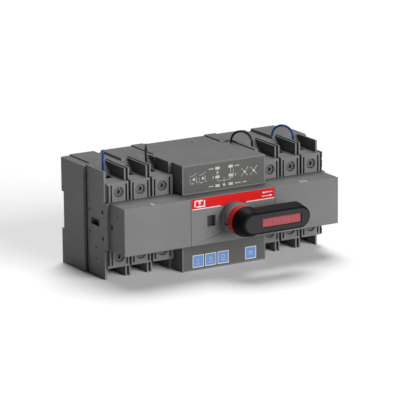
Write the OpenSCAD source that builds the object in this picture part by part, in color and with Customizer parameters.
// Automatic transfer switch: two three-pole switches side by side, a motor drive and a rotary handle.
// Origin: centre of the rail seat. +X right, +Y into the mounting rail, +Z up. Millimetres.

/* [Base] */
// Width over the rear frame
base_w = 244.2; // [243:0.1:246]
// Height of the rear frame
base_h = 103.4; // [103:0.1:105]
// Front edge of the rear frame
base_front_y = -39.4; // [-40:0.1:-39]
// Wall thickness of the rear frame
base_wall = 3; // [2.5:0.1:3.2]
// Height of the rail seat, for a 35 mm rail
rail_h = 36; // [35.6:0.1:36.4]
// Depth of the rail seat
rail_d = 4; // [3.8:0.1:4.2]

/* [Front] */
// Front plane of the three covers
front_y = -107; // [-107.5:0.1:-106.5]
// Back edge of the three covers
cover_back_y = -79; // [-79.2:0.1:-78.9]
// Height of the three covers, the modular 45 mm
cover_h = 45; // [44.8:0.1:45]
// Half width over the three covers
cover_x = 116.2; // [116:0.1:116.6]
// Half width of the centre cover
centre_x = 45.6; // [45.5:0.1:45.8]
// Wall thickness of the covers
cover_wall = 2.2; // [2:0.1:2.4]
// Front plane of the upper control cover
upper_y = -90.25; // [-91:0.05:-90]
// Top of the upper control cover
upper_z = 50.6; // [50.4:0.1:50.8]
// Front plane of the key panel
panel_y = -89.6; // [-90:0.1:-89]
// Bottom of the key panel
panel_z = -51.7; // [-51.7:0.1:-51.5]

/* [Poles] */
// Distance between poles
pole_pitch = 23; // [23:0.1:23.1]
// Centre of the inner pole of each switch
pole_x = 58.8; // [58.7:0.1:58.9]
// Height of the terminal screws above the middle
screw_z = 31; // [30.5:0.1:31.5]
// Front plane of the terminal blocks
term_y = -76.2; // [-76.4:0.1:-76]
// Half height over the terminal blocks
term_z = 40.5; // [40.3:0.1:40.8]
// Half height over the phase barriers
barrier_z = 51.6; // [51:0.1:51.7]
// Front edge of the phase barriers
barrier_y = -71; // [-72:0.1:-70]

/* [Handle] */
// Radius of the handle's hub at its back
hub_r = 14.5; // [14.2:0.1:14.8]
// Radius of the handle's far end at its back
grip_r = 12.2; // [12:0.1:12.4]
// Distance between the centres of its round ends
grip_len = 52.4; // [52:0.1:53]
// Front plane of the handle
grip_y = -143.5; // [-144:0.1:-143]
// Radius of the fixed boss under the handle
boss_r = 15; // [14.8:0.1:15.2]
// Radius of the red collar
collar_r = 13.4; // [13:0.1:13.6]

/* [Drive] */
// Module of the rack pinion
rack_mod = 0.6; // [0.6]
// Teeth of the rack pinion
rack_teeth = 12; // [12]
// Module of the shaft gear
gear_mod = 0.7; // [0.7]
// Teeth of the shaft gear
gear_teeth = 48; // [48]
// Teeth of the idler pinion
idler_teeth = 12; // [12]
// Module of the motor stage
motor_mod = 0.5; // [0.5]
// Teeth of the idler wheel
wheel_teeth = 40; // [40]
// Teeth of the motor pinion
motor_teeth = 10; // [10]
// Diameter of the drive shaft
shaft_d = 8; // [7.8:0.1:8.2]

/* [Keys and wires] */
// Side of a key with its frame
key_s = 12.1; // [12:0.1:12.4]
// Travel of a key
key_travel = 0.8; // [0.6:0.1:0.8]
// Diameter of a sensing wire
wire_d = 2.2; // [2:0.1:2.4]

/* [Hidden] */

$fn = 48;
eps = 0.02;

back_y = rail_d;
base_x = base_w / 2;
base_z = base_h / 2;
groove_y = -44;
side_groove_y = -42.7;
slope_y = -34.5;
housing_x = 119.2;
housing_in_x = 47;
poles = [pole_x, pole_x + pole_pitch, pole_x + 2 * pole_pitch];
borders = [pole_x + pole_pitch / 2, pole_x + 3 * pole_pitch / 2];

// Phase barriers: a pair of walls each side of a narrow gap at every pole border
gap_half = 1.2;
pair_wall = 1.5;
slot_w = 1.7;
cell_half = pole_pitch / 2 - gap_half - pair_wall;
cell_y0 = -73.8;
cell_y1 = -42;

// Gear train: the shaft gear drives the idler, whose wheel drives the motor pinion
shaft_r = shaft_d / 2;
rack_r = rack_mod * rack_teeth / 2;
rack_stroke = PI * rack_r;
gear_dist = gear_mod * (gear_teeth + idler_teeth) / 2;
idler_dir = 225;
idler_x = gear_dist * cos(idler_dir);
idler_z = gear_dist * sin(idler_dir);
motor_dist = motor_mod * (wheel_teeth + motor_teeth) / 2;
motor_x = idler_x - motor_dist;
motor_z = idler_z;
rack_y0 = -56;
rack_y1 = -50;
gear_y0 = -49.6;
gear_y1 = -47.2;
wheel_y0 = -47.0;
wheel_y1 = -45.4;
plate_front_y = -66;
plate_rear_y = -44;
plate_t = 2;
plate_x = 44;
pillar_x = 41.5;
pillar_z = 18.2;
rack_z0 = rack_r + 0.9;
rack_z1 = rack_z0 + 5;

// Contacts: at rest the right switch is closed
bar_t = 2.4;
bar_at = 4.2;
bar_y0 = -62.2;
bar_y1 = -56.1;
pad_z0 = 11;
pad_z1 = 16;

key_z = -42.85;
key_x = [-28.4, -14.85, -1.25, 29];
key_in = 10.1;
film_t = 0.15;

lens_w = 4.6;
lens_h = 2.5;
lens_bars = [for (x = [-7.2, 7.2]) for (z = [44.1, 35.6, 27.3]) [x, z]];
lens_r = 1.3;
lens_dots = [[-32.8, 36.5], [-23, 36.5], [22.4, 36.9], [32.3, 36.9], [-0.1, 27.3]];

clip_x = 70;
spring_r = 1.05;
spring_wire = 0.25;
spring_z0 = -40;
spring_z1 = -30;
spring_y = 2.3;

wire_r = wire_d / 2;
wire_in_y = -49.5;
wire_out_y = -33;
wire_top_z = 62.8;
wire_end_z = 38;
wire_steps = 14;
// Each wire: where it goes into its pole and where it comes out of the case, in X
left_blue = [-106.4, -97.3];
left_black = [-60.4, -51.3];
right_black = [55.6, 42.2];
right_blue = [101.6, 88.2];

light = "#848484";
mid = "#707070";
dark = "#505050";
steel = "#b8bcc0";
brass = "#c9a04a";
copper = "#b87333";
zinc = "#c8c8c0";

// ---------- helpers ----------

// A box from its low corner to its high corner
module span(a, b) {
    translate(a) cube([b[0] - a[0], b[1] - a[1], b[2] - a[2]]);
}

// A cylinder along Y, from y0 to y1, about (x, z)
module ycyl(x, z, r, y0, y1) {
    translate([x, y1, z]) rotate([90, 0, 0]) cylinder(r = r, h = y1 - y0);
}

// A cone along Y: radius r0 at y0 and r1 at y1
module ycone(x, z, r0, r1, y0, y1) {
    translate([x, y1, z]) rotate([90, 0, 0]) cylinder(r1 = r1, r2 = r0, h = y1 - y0);
}

// A cylinder along Z
module zcyl(x, y, r, z0, z1) {
    translate([x, y, z0]) cylinder(r = r, h = z1 - z0);
}

// The same shape at x and at -x
module both_sides() {
    children();
    mirror([1, 0, 0]) children();
}

// The same shape above and below the middle
module both_ends() {
    children();
    mirror([0, 0, 1]) children();
}

// A flat outline in X and Z, given thickness from y0 to y1
module xz_plate(y0, y1) {
    translate([0, y1, 0]) rotate([90, 0, 0]) linear_extrude(y1 - y0) children();
}

// Involute gear outline, one tooth centred on angle 0
function inv_pt(rb, r) =
    let (t = sqrt(max(0, r * r / rb / rb - 1)))
    (t * 180 / PI) - atan(t);

function tooth(m, z, play, a) =
    let (
        rp = m * z / 2,
        rb = rp * cos(20),
        ro = rp + 0.9 * m,
        rf = rp - 1.2 * m,
        half = 90 / z - play / rp / 2 * 180 / PI + inv_pt(rb, rp),
        r0 = max(rb, rf),
        steps = [0, 0.3, 0.65, 1],
        rs = [for (s = steps) r0 + (ro - r0) * s],
        hs = [for (r = rs) half - inv_pt(rb, r)]
    )
    concat(
        [[rf, a - half - 2 / z]],
        [for (i = [0:3]) [rs[i], a - hs[i]]],
        [for (i = [3:-1:0]) [rs[i], a + hs[i]]],
        [[rf, a + half + 2 / z]]
    );

module gear_outline(m, z, play, turn) {
    polar = [for (i = [0:z - 1]) each tooth(m, z, play, turn + i * 360 / z)];
    polygon([for (p = polar) p[0] * [cos(p[1]), sin(p[1])]]);
}

// ---------- rear frame ----------

// Outline of the frame's top edge, with the ridges that lie between its raised parts
function frame_top() = [
    [-base_x, base_z - 0.9], [-113, base_z - 0.9], [-113, base_z + 0.2], [-87, base_z + 0.2],
    [-86, base_z - 2.4], [-80, base_z - 2.4], [-79, base_z - 0.2], [-46.5, base_z - 0.2],
    [-46.5, base_z + 0.8], [-34, base_z + 0.8], [-34, base_z - 0.3], [34, base_z - 0.3],
    [34, base_z + 0.8], [46.5, base_z + 0.8], [46.5, base_z - 0.2], [79, base_z - 0.2],
    [80, base_z - 2.4], [86, base_z - 2.4], [87, base_z + 0.2], [113, base_z + 0.2],
    [113, base_z - 0.9], [base_x, base_z - 0.9]
];

module base_frame() {
    color(dark) difference() {
        xz_plate(base_front_y, back_y)
            polygon(concat(frame_top(), [[base_x, -base_z], [-base_x, -base_z]]));
        // front hollow, down to a back wall 3 mm in front of the rail seat
        span([-base_x + base_wall, base_front_y - 1, -base_z + base_wall],
            [base_x - base_wall, -3, base_z - base_wall - 3]);
        // rail seat, 0.3 mm deeper where the hooks reach over it
        span([-base_x - 1, 0, -rail_h / 2], [base_x + 1, back_y + 1, rail_h / 2]);
        // the upper control cover sits in a notch of the top wall
        span([-45.3, base_front_y - 1, base_z - base_wall - 3.5], [45.3, -26.8, base_z + 2]);
        both_sides() {
            span([clip_x - 9, -0.3, -rail_h / 2], [clip_x + 9, 1, rail_h / 2]);
            clip_slot(0.15);
            for (z = [-29, 29])
                for (x = [18, 98])
                    span([x - 14, 0.4, z - 7], [x + 14, back_y + 1, z + 7]);
            // mounting hole of each corner
            for (z = [-26, 26]) ycyl(115.5, z, 2.6, -4, back_y + 1);
        }
        // the compartments of the poles run on into the top and the bottom
        both_ends() both_sides() {
            for (c = poles) pole_slope(c, base_front_y - 1);
            for (b = borders) {
                span([b - gap_half, base_front_y - 1, base_z - 1.5], [b + gap_half, -30, base_z + 2]);
                span([b - gap_half, -33, base_z - base_wall - 4], [b + gap_half, -30, base_z + 2]);
            }
        }
        // entries of the sensing wires
        for (w = [left_blue, left_black, right_blue]) zcyl(w[1], wire_out_y, wire_r, 40, base_z + 2);
        // release slot in the top
        span([3.4, -13.5, base_z - base_wall - 2], [12, -11, base_z + 2]);
        // holes for the housing screws
        both_sides() both_ends() ycyl(82, 44.2, 1.6, base_front_y - 1, -30);
    }
    // hooks over the upper flange of the rail
    color(dark) both_sides()
        span([clip_x - 8, 1.5, rail_h / 2 - 1.7], [clip_x + 8, back_y, rail_h / 2]);
    // bosses for the housing screws
    color(dark) both_sides() both_ends() difference() {
        span([78, base_front_y + 1, 39.5], [86, -3, base_z - base_wall - 2.5]);
        ycyl(82, 44.2, 1.6, base_front_y - 1, -28);
    }
}

// Sloping end of a pole's compartment, cut away from y0 back to slope_y
module pole_slope(c, y0) {
    translate([c - cell_half, 0, 0]) rotate([90, 0, 90]) linear_extrude(2 * cell_half) polygon([
        [y0, slope_at(y0)], [slope_y, slope_at(slope_y)],
        [slope_y, base_z + 3], [y0, base_z + 3]
    ]);
}

// Height of that slope at y
function slope_at(y) = base_z + 0.1 + (y - slope_y) * 0.86;

// T-shaped channel of the rail clip; grow is the play on every side
module clip_slot(grow) {
    span([clip_x - 8 - grow, 1.0 - grow, -base_z - 1], [clip_x + 8 + grow, 2.7 + grow, -rail_h / 2 + 1.6]);
    span([clip_x - 5 - grow, 1.0, -base_z - 1], [clip_x + 5 + grow, back_y + 1, -rail_h / 2 + 1.6]);
}

module rail_clip() {
    difference() {
        union() {
            span([clip_x - 8, 1.2, -50.8], [clip_x + 8, 2.7, -rail_h / 2 - 0.2]);
            span([clip_x - 5, 1.2, -50.8], [clip_x + 5, back_y - 0.1, -rail_h / 2 + 1.6]);
        }
        // window of the spring and its post
        span([clip_x - 1.7, 0, -44], [clip_x + 1.7, back_y + 1, spring_z1]);
        // screwdriver slot
        span([clip_x - 3, 0, -49.3], [clip_x + 3, back_y + 1, -46.8]);
    }
}

module left_rail_clip() color("#303030") mirror([1, 0, 0]) rail_clip();
module right_rail_clip() color("#303030") rail_clip();

// Compression spring: a round wire swept along a helix
module clip_spring() {
    turns = 6;
    per_turn = 14;
    sides = 6;
    n = turns * per_turn;
    z_lo = spring_z0 + spring_wire;
    z_hi = spring_z1 - spring_wire;
    ring = [for (i = [0:n]) for (j = [0:sides - 1])
        let (a = i * 360 / per_turn, b = j * 360 / sides, r = spring_r + spring_wire * cos(b))
        [r * cos(a), r * sin(a), z_lo + (z_hi - z_lo) * i / n + spring_wire * sin(b)]];
    walls = [for (i = [0:n - 1]) for (j = [0:sides - 1])
        let (k = (j + 1) % sides)
        [i * sides + j, i * sides + k, (i + 1) * sides + k, (i + 1) * sides + j]];
    low = [for (j = [sides - 1:-1:0]) j];
    high = [for (j = [0:sides - 1]) n * sides + j];
    translate([clip_x, spring_y, 0]) polyhedron(ring, concat(walls, [low], [high]));
}

module left_clip_spring() color(steel) mirror([1, 0, 0]) clip_spring();
module right_clip_spring() color(steel) clip_spring();

// ---------- switch housings ----------

// lugs: the outer end has a barrier of its own and a low notched plate instead of a high side wall
module switch_housing(lugs) {
    difference() {
        union() {
            // body behind the cover, terminal blocks above and below it, neck in the base groove
            span([housing_in_x, cover_back_y, -cover_h / 2 + 0.2], [117.2, groove_y, cover_h / 2 - 0.2]);
            span([housing_in_x, term_y, -term_z], [117.2, groove_y, term_z]);
            span([housing_in_x + 1.5, groove_y - 1, -39], [118.3, base_front_y, 39]);
            both_ends() difference() {
                span([housing_in_x, groove_y - 3, 38], [118.3, base_front_y, barrier_z - 0.1]);
                for (c = poles) pole_slope(c, groove_y - 4);
            }
            outer_wall(lugs ? term_z : barrier_z);
            if (lugs) both_ends()
                span([borders[1] + 20.1, barrier_y, term_z - 1], [borders[1] + 21.8, groove_y, barrier_z]);
            both_ends() span([45.5, barrier_y, 24], [housing_in_x + 1.8, base_front_y - 0.1, barrier_z]);
            for (b = borders) both_ends()
                span([b - gap_half - pair_wall, barrier_y, term_z - 1],
                    [b + gap_half + pair_wall, base_front_y, barrier_z]);
            // flanges of the housing screws
            both_ends() span([77, groove_y, 38], [87, base_front_y, 47.6]);
        }
        for (b = borders) both_ends() {
            // gap of the barrier pair, open to the front at the terminals
            span([b - gap_half, term_y - 1, 22.3], [b + gap_half, groove_y - 3, barrier_z + 1]);
            span([b - gap_half, groove_y - 4, barrier_z - 1.5], [b + gap_half, base_front_y + 1, barrier_z + 1]);
        }
        // slot behind the outer wall
        both_ends() span([115.3, term_y - 1, 22.3], [117.1, groove_y - 3, lugs ? term_z + 1 : term_z - 2]);
        if (lugs) both_ends() for (z = [23.6, 33.6])
            span([117.6, term_y - 4, z - 1.2], [housing_x + 1, term_y + 4, z + 1.2]);
        for (c = poles) pole_hollow(c);
        // window of the contact carrier through every wall
        span([housing_in_x - 1, rack_y0 - 0.4, rack_z0 - 0.4],
            [poles[2] + cell_half - 1, rack_y1 + 0.4, rack_z1 + 0.4]);
        side_holes();
        both_ends() {
            ycyl(82, 44.2, 1.8, groove_y - 1, base_front_y + 1);
            ycyl(82, 44.2, 3.1, groove_y - 4, groove_y);
        }
    }
}

// Plate of the outer end: its terminal part is z_top high
module outer_wall(z_top) {
    span([117, barrier_y - 3, -z_top], [housing_x, side_groove_y, z_top]);
    span([117, cover_back_y, -cover_h / 2 + 0.2], [housing_x, side_groove_y, cover_h / 2 - 0.2]);
}

module pole_hollow(c) {
    // chamber of the contacts
    span([c - cell_half, cell_y0, -term_z + 2], [c + cell_half, cell_y1, term_z - 2]);
    both_ends() {
        // narrow slots beside the terminal face
        for (s = [-1, 1])
            span([c + s * (cell_half - slot_w / 2) - slot_w / 2, term_y - 1, 22.2],
                [c + s * (cell_half - slot_w / 2) + slot_w / 2, cell_y0 + 1, term_z - 2]);
        // screw access: a stepped round hole
        ycyl(c, screw_z, 4.8, term_y - 1, cell_y0 + 1);
        ycyl(c, screw_z, 5.4, term_y - 1, term_y + 0.7);
        // cable entry
        span([c - 4.6, -57.5, term_z - 3], [c + 4.6, -46.5, term_z + 1]);
    }
}

// Square test holes and the interlock slot of the outer side wall
module side_holes() {
    for (z = [-11, 11]) span([114, -47.2, z - 1.3], [housing_x + 1, -44.9, z + 1.3]);
    for (z = [-12.5, 12.5]) span([114, -72.2, z - 1.8], [housing_x + 1, -68.9, z + 1.8]);
    span([114, -64, -2.6], [housing_x + 1, -48.3, 4]);
    for (z = [-34.6, -23.5]) span([housing_x - 0.8, -58.6, z - 1.2], [housing_x + 1, -56.6, z + 1.2]);
}

module left_switch_housing() color(mid) mirror([1, 0, 0]) switch_housing(false);
module right_switch_housing() color(mid) switch_housing(true);

// ---------- current path ----------

// Fixed contacts of one switch: a pad beside the moving bar, an arm and a tongue in the clamp
module fixed_contacts() {
    pad_x = bar_at + bar_t + 0.05;
    for (c = poles) both_ends() {
        span([c + pad_x, bar_y0, pad_z0], [c + cell_half - 0.1, bar_y1, pad_z1]);
        span([c + pad_x + 0.8, bar_y0, pad_z1], [c + cell_half - 0.1, bar_y1, 25]);
        span([c - 4, bar_y0, 23.4], [c + cell_half - 0.1, bar_y0 + 1.6, 25.2]);
        span([c - 4, bar_y0, 25.2], [c + 4, bar_y0 + 1.6, 37]);
    }
}

module left_fixed_contacts() color(copper) mirror([1, 0, 0]) fixed_contacts();
module right_fixed_contacts() color(copper) fixed_contacts();

// Clamp cage: a square ring that the terminal screw pulls up against the tongue
module clamp_cages() {
    for (c = poles) both_ends() difference() {
        span([c - 5.8, -68.4, 26], [c + 5.8, -45.2, 37.2]);
        span([c - 4.4, -66.2, 25], [c + 4.4, -46.6, 38]);
        ycyl(c, screw_z, 2.5, -69, -66);
    }
}

module left_clamp_cages() color(zinc) mirror([1, 0, 0]) clamp_cages();
module right_clamp_cages() color(zinc) clamp_cages();

module terminal_screws() {
    for (c = poles) both_ends() difference() {
        union() {
            ycyl(c, screw_z, 4.1, -74.6, -70.8);
            ycyl(c, screw_z, 2.4, -70.8, bar_y0 - 0.1);
        }
        // hexagon socket
        translate([c, -72.2, screw_z]) rotate([90, 0, 0]) cylinder(r = 2.3, h = 3, $fn = 6);
    }
}

module left_terminal_screws() color(steel) mirror([1, 0, 0]) terminal_screws();
module right_terminal_screws() color(steel) terminal_screws();

// Splitter plates that cool the arc, stacked away from the pad
module arc_plates() {
    for (c = poles) both_ends() for (i = [0:2])
        span([c - 8.2, -72 + i * 2.6, pad_z0 - 0.5], [c + 4.4, -71 + i * 2.6, pad_z1 + 2.5]);
}

module left_arc_plates() color(steel) mirror([1, 0, 0]) arc_plates();
module right_arc_plates() color(steel) arc_plates();

// Moving bars; shift is the carrier's place along the rack
module moving_contacts(shift) {
    for (c = poles)
        span([c + bar_at - shift, bar_y0 + 0.1, -pad_z1 + 0.5],
            [c + bar_at + bar_t - shift, bar_y1 - 0.1, pad_z1 - 0.5]);
}

module left_moving_contacts() color(copper) mirror([1, 0, 0]) moving_contacts(rack_stroke);
module right_moving_contacts() color(copper) moving_contacts(0);

// Comb that carries the bars: a rail through the pole walls and a clasp round each bar
module contact_carrier(shift) {
    difference() {
        union() {
            span([plate_x + 1.4, rack_y0, rack_z0],
                [poles[2] + bar_at + bar_t + 1.2 - shift, rack_y1, rack_z1]);
            for (c = poles)
                span([c + bar_at - 1.5 - shift, bar_y0 - 1.6, -3],
                    [c + bar_at + bar_t + 1.5 - shift, rack_y0 + 0.5, rack_z1]);
        }
        moving_contacts(shift);
    }
}

module left_contact_carrier() color("#d9d4c4") mirror([1, 0, 0]) contact_carrier(rack_stroke);
module right_contact_carrier() color("#d9d4c4") contact_carrier(0);

// ---------- drive ----------

// Rack above the pinion; a tooth gap is centred on the pinion at rest
module drive_rack() {
    pitch = PI * rack_mod;
    half_w = pitch / 4 - 0.14;
    tip_z = rack_r - 0.6 * rack_mod;
    lean = (rack_z0 - tip_z) * tan(20);
    first = -3;
    last = 8;
    color(steel) {
        span([-plate_x - 1.4, rack_y0, rack_z0], [plate_x + 1.4, rack_y1, rack_z1]);
        xz_plate(rack_y0, rack_y1) for (i = [first:last])
            translate([(i + 0.5) * pitch, 0]) polygon([
                [-half_w + 0.13, tip_z], [half_w - 0.13, tip_z],
                [half_w - 0.13 + lean, rack_z0 + eps], [-half_w + 0.13 - lean, rack_z0 + eps]
            ]);
    }
}

module shaft_pinion() {
    color(steel) difference() {
        xz_plate(rack_y0, rack_y1) gear_outline(rack_mod, rack_teeth, 0.1, 90);
        ycyl(0, 0, 2, rack_y0 - 1, rack_y1 + 1);
    }
}

module shaft_gear() {
    color("#e8e2d0") difference() {
        xz_plate(gear_y0, gear_y1) gear_outline(gear_mod, gear_teeth, 0.1, idler_dir);
        ycyl(0, 0, shaft_r, gear_y0 - 1, gear_y1 + 1);
        for (a = [0:60:300])
            ycyl(10.2 * cos(a), 10.2 * sin(a), 3, gear_y0 - 1, gear_y1 + 1);
    }
}

module drive_shaft() {
    color(steel) {
        ycyl(0, 0, shaft_r, -131, rack_y0);
        ycyl(0, 0, 2, rack_y0, rack_y1);
        ycyl(0, 0, shaft_r, rack_y1, -38);
    }
}

// Idler: a small pinion on the shaft gear and a wheel on the motor pinion
module idler_gear() {
    half_tooth = 180 / idler_teeth;
    color("#e8e2d0") translate([idler_x, 0, idler_z]) difference() {
        union() {
            xz_plate(gear_y0, wheel_y0 + eps)
                gear_outline(gear_mod, idler_teeth, 0.1, idler_dir - 180 + half_tooth);
            xz_plate(wheel_y0, wheel_y1) gear_outline(motor_mod, wheel_teeth, 0.1, 180);
        }
        ycyl(0, 0, 1.55, gear_y0 - 1, wheel_y1 + 1);
    }
}

module idler_axle() {
    color(steel) {
        ycyl(idler_x, idler_z, 1.5, plate_front_y + plate_t, plate_rear_y);
        ycyl(idler_x, idler_z, 2.6, plate_front_y + plate_t, gear_y0 - 0.1);
    }
}

module motor_pinion() {
    color(brass) {
        translate([motor_x, 0, motor_z]) xz_plate(wheel_y0 - 0.4, wheel_y1 + 0.1)
            gear_outline(motor_mod, motor_teeth, 0.1, 180 / motor_teeth);
        ycyl(motor_x, motor_z, 1.2, wheel_y1, -36);
    }
}

module motor_can() {
    color("#9a9da0") difference() {
        union() {
            ycyl(motor_x, motor_z, 12, plate_rear_y + plate_t, -6);
            ycyl(motor_x, motor_z, 3.4, plate_rear_y - 0.6, plate_rear_y + plate_t);
            ycyl(motor_x, motor_z, 3.4, -6, -4.4);
        }
        ycyl(motor_x, motor_z, 1.25, plate_rear_y - 1, -35.8);
    }
}

module side_plate(y0) {
    span([-plate_x, y0, -20.6], [plate_x, y0 + plate_t, 20.6]);
}

module front_plate() {
    color(steel) difference() {
        side_plate(plate_front_y);
        ycyl(0, 0, 6, plate_front_y - 1, plate_front_y + plate_t + 1);
        pillar_holes(plate_front_y);
        ycyl(-36, 8, 4, plate_front_y - 1, plate_front_y + plate_t + 1);
        ycyl(36, -8, 4, plate_front_y - 1, plate_front_y + plate_t + 1);
    }
}

module rear_plate() {
    color(steel) difference() {
        side_plate(plate_rear_y);
        ycyl(0, 0, 6, plate_rear_y - 1, plate_rear_y + plate_t + 1);
        ycyl(motor_x, motor_z, 3.5, plate_rear_y - 1, plate_rear_y + plate_t + 1);
        pillar_holes(plate_rear_y);
    }
}

module pillar_holes(y0) {
    both_sides() both_ends() ycyl(pillar_x, pillar_z, 1.6, y0 - 1, y0 + plate_t + 1);
}

// Pillars that stand on the back wall of the frame and pass through both plates
module plate_spacers() {
    color(steel) both_sides() both_ends() {
        ycyl(pillar_x, pillar_z, 2.4, plate_front_y + plate_t, plate_rear_y);
        ycyl(pillar_x, pillar_z, 1.6, plate_front_y - 0.8, plate_rear_y + plate_t);
        ycyl(pillar_x, pillar_z, 2.4, plate_rear_y + plate_t, -3);
    }
}

module shaft_bushes() {
    color(brass) for (y0 = [plate_front_y, plate_rear_y]) difference() {
        flange_y = y0 == plate_front_y ? y0 - 1.2 : y0 + plate_t;
        union() {
            ycyl(0, 0, 6, y0, y0 + plate_t);
            ycyl(0, 0, 7.4, flange_y, flange_y + 1.2);
        }
        ycyl(0, 0, shaft_r + 0.05, y0 - 2, y0 + plate_t + 2);
    }
}

// Two forks that carry the rack between the plates
module rack_guides() {
    color("#d9d4c4") both_sides() difference() {
        span([29.5, plate_front_y + plate_t, rack_z0 - 2.4], [36.5, plate_rear_y, rack_z1 + 2.4]);
        span([29, rack_y0 - 0.1, rack_z0 - 0.1], [37, rack_y1 + 0.1, rack_z1 + 0.1]);
    }
}

// ---------- covers ----------

module cover_shell(x0, x1) {
    difference() {
        span([x0, front_y, -cover_h / 2], [x1, cover_back_y, cover_h / 2]);
        span([x0 + cover_wall, front_y + cover_wall, -cover_h / 2 + cover_wall],
            [x1 - cover_wall, cover_back_y + 1, cover_h / 2 - cover_wall]);
    }
}

module side_cover() {
    difference() {
        cover_shell(centre_x + 0.2, cover_x);
        // square hole and shallow dents in the outer end
        span([cover_x - 3, -84.4, -1.4], [cover_x + 1, -80.8, 2.8]);
        both_ends() span([cover_x - 0.6, -94.6, 10.9], [cover_x + 1, -92.6, 14.4]);
    }
}

module left_front_cover() color(light) mirror([1, 0, 0]) side_cover();
module right_front_cover() color(light) side_cover();

// Window of the mode slider
win = [-28.2, -5.9, -19.4, 4.6];
win_depth = 4;

module centre_front_cover() {
    color(light) difference() {
        union() {
            cover_shell(-centre_x, centre_x);
            ycyl(0, 0, boss_r, front_y - 12, front_y + cover_wall);
            span([win[0] - 1.7, front_y, win[1] - 1.7], [win[2] + 1.6, front_y + win_depth, win[3] + 1.7]);
        }
        ycyl(0, 0, 10, front_y - 13, front_y + cover_wall + 1);
        span([win[0], front_y - 1, win[1]], [win[2], front_y + win_depth + 1, win[3]]);
        // notch in the side of the boss
        span([-boss_r - 1, front_y - 13, -4], [-boss_r + 2.4, front_y - 7, 4]);
    }
}

module name_strip() {
    color("#ee2a2a") difference() {
        span([-44.7, front_y - 0.3, 12], [44.7, front_y, 22.2]);
        ycyl(0, 0, boss_r + 0.1, front_y - 1, front_y + 1);
    }
}

// Slider behind the window, with a rib that the finger pushes to the right
module mode_slider() {
    color("#2c2c2c") {
        span([-35, front_y + win_depth + 0.1, -7], [-12.6, front_y + win_depth + 1.6, 5.7]);
        span([-28, front_y + 0.5, -5.6], [-25.4, front_y + win_depth + 0.1, 4.3]);
    }
}

module upper_control_cover() {
    // posts of the board
    color(light) for (x = [-38, 38]) for (z = [26.5, 44]) ycyl(x, z, 2, upper_y + 1.9, upper_y + 3.4);
    color(light) difference() {
        span([-45, upper_y, cover_h / 2 + 0.2], [45, -27, upper_z]);
        span([-43, upper_y + 2, cover_h / 2 - 1], [43, -26, upper_z - 2]);
        for (p = lens_bars) lens_bar(p, upper_y - 1, upper_y + 3);
        for (p = lens_dots) ycyl(p[0], p[1], lens_r, upper_y - 1, upper_y + 3);
        // entry of the right black sensing wire
        zcyl(right_black[1], wire_out_y, wire_r, 40, upper_z + 1);
    }
}

// Printed films stuck on the fronts of the two control covers
module upper_film() {
    color("#5c5c59") difference() {
        span([-43.7, upper_y - film_t, cover_h / 2 + 1.3], [43.7, upper_y, upper_z - 1.4]);
        for (p = lens_bars) lens_bar(p, upper_y - 1, upper_y + 1);
        for (p = lens_dots) ycyl(p[0], p[1], lens_r, upper_y - 1, upper_y + 1);
    }
}

module key_film() {
    color("#5c5c59") difference() {
        span([-44.1, panel_y - film_t, panel_z + 1.3], [44.1, panel_y, -cover_h / 2 - 1]);
        for (x = key_x)
            span([x - key_s / 2, panel_y - 1, key_z - key_s / 2], [x + key_s / 2, panel_y + 1, key_z + key_s / 2]);
    }
}

module indicator_lenses() {
    color("#e6e6e0") {
        for (p = lens_bars) lens_bar(p, upper_y - 0.25, upper_y + 2.6);
        for (p = lens_dots) ycyl(p[0], p[1], lens_r, upper_y - 0.35, upper_y + 2.6);
    }
}

// Rectangular lens centred on p, from y0 to y1
module lens_bar(p, y0, y1) {
    span([p[0] - lens_w / 2, y0, p[1] - lens_h / 2], [p[0] + lens_w / 2, y1, p[1] + lens_h / 2]);
}

module control_board() {
    color("#2f6b3c") span([-41, upper_y + 3.4, 23.4], [41, upper_y + 5, 47]);
    color("#303030") for (x = [-34, -20, 20, 32])
        span([x - 4, upper_y + 5, 28], [x + 4, upper_y + 9, 40]);
    // light sources behind the lenses
    color("#f0f0e8") for (p = concat(lens_bars, lens_dots))
        span([p[0] - 1, upper_y + 2.7, p[1] - 0.9], [p[0] + 1, upper_y + 3.45, p[1] + 0.9]);
}

module key_panel_cover() {
    // posts of the board
    color(light) for (x = [-39, 39]) for (z = [-47, -27]) ycyl(x, z, 2, panel_y + 1.9, panel_y + 7);
    color(light) difference() {
        span([-45.4, panel_y, panel_z], [45.4, groove_y, -cover_h / 2 - 0.2]);
        span([-43.4, panel_y + 2, panel_z + 2], [43.4, groove_y + 1, -cover_h / 2 + 1]);
        for (x = key_x)
            span([x - key_in / 2 - 0.15, panel_y - 1, key_z - key_in / 2 - 0.15],
                [x + key_in / 2 + 0.15, panel_y + 3, key_z + key_in / 2 + 0.15]);
    }
}

module key_frames() {
    color("#e8eef6") for (x = key_x) difference() {
        span([x - key_s / 2, panel_y - 0.3, key_z - key_s / 2], [x + key_s / 2, panel_y, key_z + key_s / 2]);
        span([x - key_in / 2 - 0.15, panel_y - 1, key_z - key_in / 2 - 0.15],
            [x + key_in / 2 + 0.15, panel_y + 1, key_z + key_in / 2 + 0.15]);
    }
}

module key(i) {
    x = key_x[i];
    color("#6f9bd8") {
        span([x - key_in / 2, panel_y - 0.2, key_z - key_in / 2], [x + key_in / 2, panel_y + 2.2, key_z + key_in / 2]);
        span([x - 6, panel_y + 2.2, key_z - 6], [x + 6, panel_y + 3, key_z + 6]);
        ycyl(x, key_z, 1.6, panel_y + 3, panel_y + 4.4);
    }
}

module key_1() key(0);
module key_2() key(1);
module key_3() key(2);
module key_4() key(3);

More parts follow.
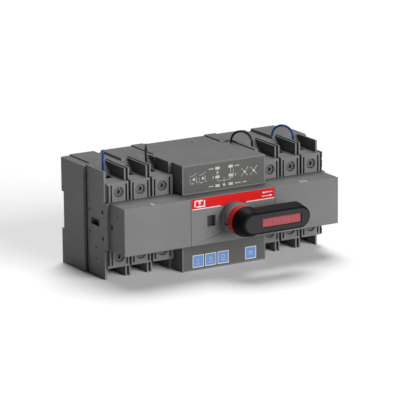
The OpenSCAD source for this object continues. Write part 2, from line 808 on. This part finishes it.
module key_board() {
    color("#2f6b3c") span([-42, panel_y + 7, -49.4], [42, panel_y + 8.6, -24]);
    color("#303030") for (x = key_x) {
        span([x - 3, panel_y + 5.6, key_z - 3], [x + 3, panel_y + 7, key_z + 3]);
        ycyl(x, key_z, 1.5, panel_y + 4.4 + key_travel + 0.05, panel_y + 5.6);
    }
}

// Two microswitches that the rack's ends press, on the rear plate
module position_switches() {
    color("#30343a") both_sides() {
        span([36.8, -61.5, -6.5], [43.6, -56.6, -0.5]);
        span([36.8, -56.6, -6.5], [43.6, plate_rear_y, -2.5]);
        span([39.4, -59.6, -0.5], [41.2, -58, 1.2]);
    }
}

// ---------- handle ----------

// Stadium from the shaft towards +X, its radius r0 at y0 and r1 at y1
module stadium(r0, r1, y0, y1) {
    ycone(0, 0, r0, r1, y0, y1);
    ycone(grip_len, 0, r0, r1, y0, y1);
    rotate([90, 0, 90]) linear_extrude(grip_len)
        polygon([[y0, -r0], [y0, r0], [y1, r1], [y1, -r1]]);
}

lock = [10.4, -3.65, 51.5, 3.65];
lock_back_y = -129.5;
face_y = grip_y + 0.6;
grip_back_y = -128;
// The handle narrows towards its front, where a chamfer runs round it
grip_chamfer = 1.6;
rim_y = face_y + grip_chamfer;
grip_front_r = 10.5;
hub_front_r = 11.4;
neck_r = 9;
neck_y = -122;

module handle_grip() {
    color("#1e1e20") difference() {
        union() {
            difference() {
                grip_body();
                // hollow back around the shaft seat and the slide's guide
                difference() {
                    stadium(grip_front_r - 1.6, grip_front_r - 1.6, -138, grip_back_y + 1);
                    ycyl(0, 0, 7, -139, grip_back_y + 2);
                    span([lock[0] - 2.6, -139, lock[1] - 2.6],
                        [lock[2] + 2.6, grip_back_y + 2, lock[3] + 2.6]);
                }
            }
            // neck inside the collar
            ycyl(0, 0, neck_r, grip_back_y - 1, neck_y);
        }
        ycyl(0, 0, shaft_r, -131, neck_y + 1);
        ycyl(0, 0, 1.5, -136, neck_y + 1);
        ycyl(0, 0, 3.2, face_y - 1, -135.4);
        span([lock[0] - 0.8, face_y - 1, lock[1] - 0.8], [lock[2] + 0.8, lock_back_y - 5.2, lock[3] + 0.8]);
        span([lock[0] - 0.2, face_y - 1, lock[1] - 0.2], [lock[2] + 0.2, neck_y + 1, lock[3] + 0.2]);
    }
}

// Outer shape of the handle: a stadium and a wider round hub
module grip_body() {
    stadium(grip_front_r - grip_chamfer, grip_front_r, face_y, rim_y);
    stadium(grip_front_r, grip_r, rim_y, grip_back_y);
    ycone(0, 0, hub_front_r - grip_chamfer, hub_front_r, face_y, rim_y);
    ycone(0, 0, hub_front_r, hub_r, rim_y, grip_back_y - 2);
    ycyl(0, 0, hub_r, grip_back_y - 2, grip_back_y);
}

module handle_face() {
    color("#3a3a3c") difference() {
        stadium(8.2, 8.6, grip_y, face_y);
        span([lock[0] - 0.8, grip_y - 1, lock[1] - 0.8], [lock[2] + 0.8, face_y + 1, lock[3] + 0.8]);
    }
}

module lock_slide() {
    color("#c85560") difference() {
        union() {
            span([lock[0], grip_y + 0.9, lock[1]], [lock[2], lock_back_y + 1.4, lock[3]]);
            // rim seen around it in the handle's recess
            span([lock[0] - 0.7, grip_y + 1.5, lock[1] - 0.7], [lock[2] + 0.7, grip_y + 2.5, lock[3] + 0.7]);
        }
        // padlock hole, free when the slide is pulled out
        zcyl((lock[0] + lock[2]) / 2, grip_y + 9.5, 3.1, -6, 6);
        // finger grooves of the front
        for (x = [21, 31, 41])
            span([x - 0.3, grip_y, lock[1] + 1], [x + 0.3, grip_y + 1.15, lock[3] - 1]);
    }
}

module handle_collar() {
    color("#cc2020") difference() {
        union() {
            ycyl(0, 0, collar_r, grip_back_y + 0.1, -119.2);
            ycyl(0, 0, 9.9, -119.2, front_y + cover_wall + 0.6);
        }
        ycyl(0, 0, neck_r + 0.1, grip_back_y - 1, neck_y + 0.1);
        ycyl(0, 0, shaft_r, neck_y - 1, front_y + cover_wall + 1);
    }
}

module handle_screw() {
    color(steel) difference() {
        union() {
            ycyl(0, 0, 3.1, -138.2, -135.4);
            ycyl(0, 0, 1.5, -135.4, -131);
        }
        translate([0, -136.8, 0]) rotate([90, 0, 0]) cylinder(r = 1.6, h = 3, $fn = 6);
    }
}

// ---------- wires and screws ----------

// Centre line of a wire: up out of the case, over in a half circle, down into the pole
function wire_path(ends, z_low) =
    let (
        half = [(ends[0] - ends[1]) / 2, (wire_in_y - wire_out_y) / 2, 0],
        middle = [ends[1] + half[0], wire_out_y + half[1], wire_top_z - norm(half)],
        up = [0, 0, norm(half)]
    )
    concat(
        [[ends[1], wire_out_y, z_low]],
        [for (a = [180:-180 / wire_steps:0]) middle + half * cos(a) + up * sin(a)],
        [[ends[0], wire_in_y, wire_end_z]]
    );

// Tube of twelve sides swept along that line, which stays in one upright plane
module sensing_wire(ends, z_low) {
    path = wire_path(ends, z_low);
    last = len(path) - 1;
    along = [ends[0] - ends[1], wire_in_y - wire_out_y, 0];
    flat = along / norm(along);
    side = [flat[1], -flat[0], 0];
    ring = [for (i = [0:last])
        let (
            turn = i == 0 ? 180 : i == last ? 0 : 180 - (i - 1) * 180 / wire_steps,
            out = flat * cos(turn) + [0, 0, sin(turn)]
        )
        for (k = [0:11]) path[i] + wire_r * (out * cos(k * 30) + side * sin(k * 30))];
    walls = [for (i = [0:last - 1]) for (k = [0:11])
        let (n = (k + 1) % 12)
        [i * 12 + k, (i + 1) * 12 + k, (i + 1) * 12 + n, i * 12 + n]];
    polyhedron(ring, concat(walls, [[for (k = [0:11]) k]], [[for (k = [11:-1:0]) last * 12 + k]]));
}

module blue_wires() color("#1f3f90") for (w = [left_blue, right_blue]) sensing_wire(w, 45);
module black_wires() color("#141414") {
    sensing_wire(left_black, 45);
    sensing_wire(right_black, 46);
}

module housing_screws() {
    color(steel) both_sides() both_ends() {
        ycyl(82, 44.2, 1.55, groove_y, -30);
        ycyl(82, 44.2, 2.9, groove_y - 1.6, groove_y);
    }
}

// ---------- assembly ----------

base_frame();
left_switch_housing();
right_switch_housing();
upper_control_cover();
upper_film();
key_panel_cover();
key_film();
left_front_cover();
centre_front_cover();
right_front_cover();
name_strip();
indicator_lenses();
key_frames();
left_fixed_contacts();
right_fixed_contacts();
left_clamp_cages();
right_clamp_cages();
left_terminal_screws();
right_terminal_screws();
left_arc_plates();
right_arc_plates();
front_plate();
rear_plate();
plate_spacers();
shaft_bushes();
rack_guides();
idler_axle();
motor_can();
control_board();
key_board();
position_switches();
blue_wires();
black_wires();
housing_screws();
handle_grip();
handle_face();
handle_collar();
handle_screw();
drive_shaft();
shaft_pinion();
shaft_gear();
lock_slide();
drive_rack();
left_contact_carrier();
right_contact_carrier();
left_moving_contacts();
right_moving_contacts();
idler_gear();
motor_pinion();
key_1();
key_2();
key_3();
key_4();
mode_slider();
left_rail_clip();
right_rail_clip();
left_clip_spring();
right_clip_spring();
